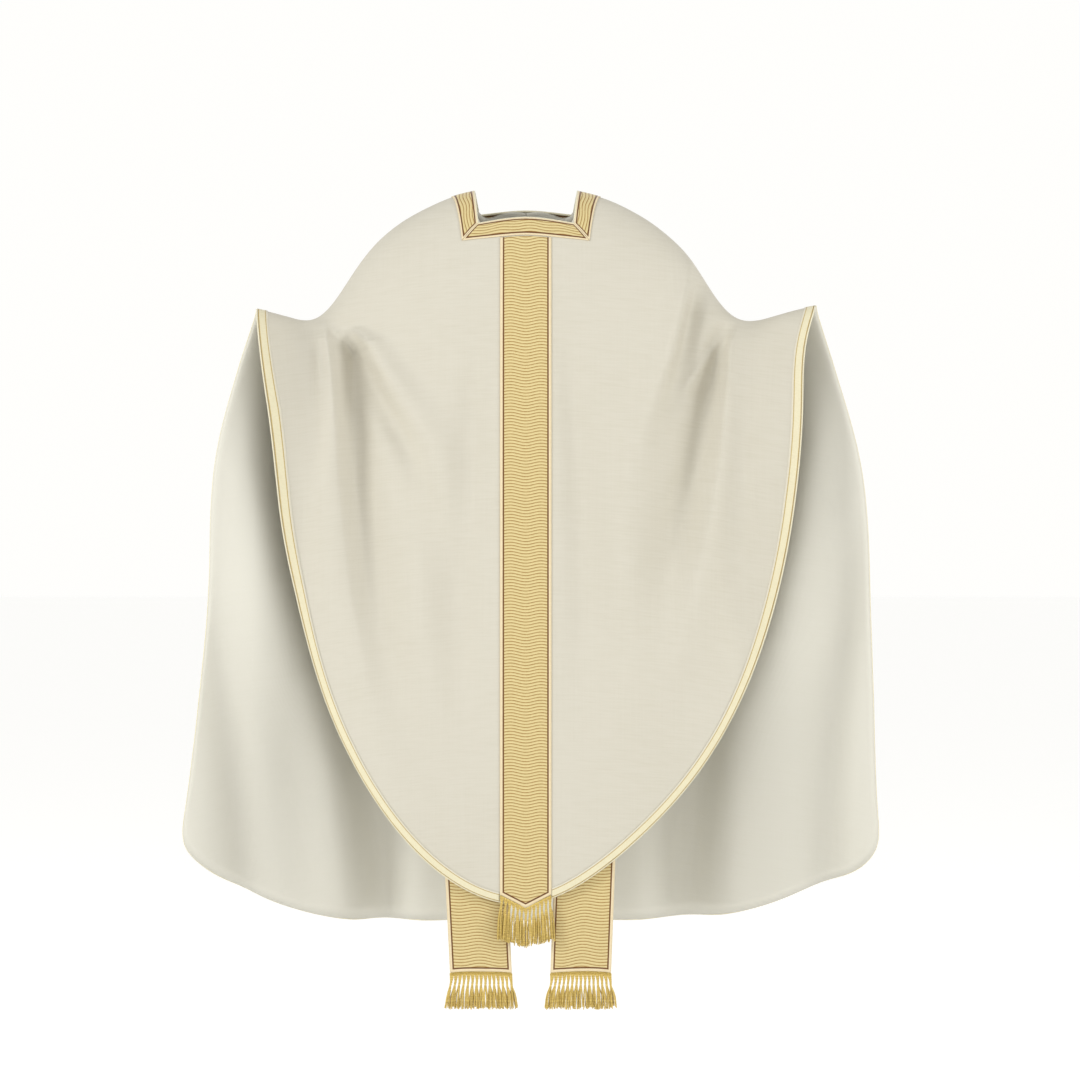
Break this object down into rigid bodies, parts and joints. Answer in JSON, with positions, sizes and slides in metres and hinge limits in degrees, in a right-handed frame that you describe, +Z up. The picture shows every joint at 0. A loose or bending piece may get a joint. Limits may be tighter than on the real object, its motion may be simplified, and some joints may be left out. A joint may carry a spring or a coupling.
{
  "type": "chasuble with stole",
  "caption": "Bell-shaped ivory chasuble with a gold column orphrey, square neck band, braided hem and fringe, hung as worn over its matching stole.",
  "frame": {"origin": "middle of the neck opening, level with the tops of the shoulders", "axes": "+Z up, -Y the garment's front, +X the wearer's left"},
  "size_m": [1.2344, 0.3562, 1.4398],
  "materials": {
    "outer_cloth": "ivory slub weave with a soft dry sheen",
    "lining": "smooth cream twill lining",
    "orphrey_brocade": "pale gold woven braid with fine wavy ribs and brown edge lines",
    "hem_braid": "narrow gold braid along the hem",
    "seam_tape": "plain cotton tape",
    "fringe": "knotted old-gold metallic thread"
  },
  "bodies": {
    "stole": {"stole_left": "orphrey_brocade", "stole_backing_left": "lining", "stole_fringe_left": "fringe", "stole_right": "orphrey_brocade", "stole_backing_right": "lining", "stole_fringe_right": "fringe"},
    "chasuble": {"neck_band_front": "orphrey_brocade", "neck_band_back": "orphrey_brocade", "neck_band_left": "orphrey_brocade", "neck_band_right": "orphrey_brocade", "front_orphrey": "orphrey_brocade", "back_orphrey": "orphrey_brocade", "front_panel_left": "outer_cloth", "front_lining_left": "lining", "front_galloon_left": "hem_braid", "back_panel_left": "outer_cloth", "back_lining_left": "lining", "back_galloon_left": "hem_braid", "shoulder_tape_left": "seam_tape", "front_panel_right": "outer_cloth", "front_lining_right": "lining", "front_galloon_right": "hem_braid", "back_panel_right": "outer_cloth", "back_lining_right": "lining", "back_galloon_right": "hem_braid", "shoulder_tape_right": "seam_tape", "front_fringe": "fringe"}
  },
  "joints": [
    {"name": "lift_off", "type": "slide", "parent": "stole", "child": "chasuble", "axis": [0, 0, 1], "range_m": [0, 1.45]}
  ]
}
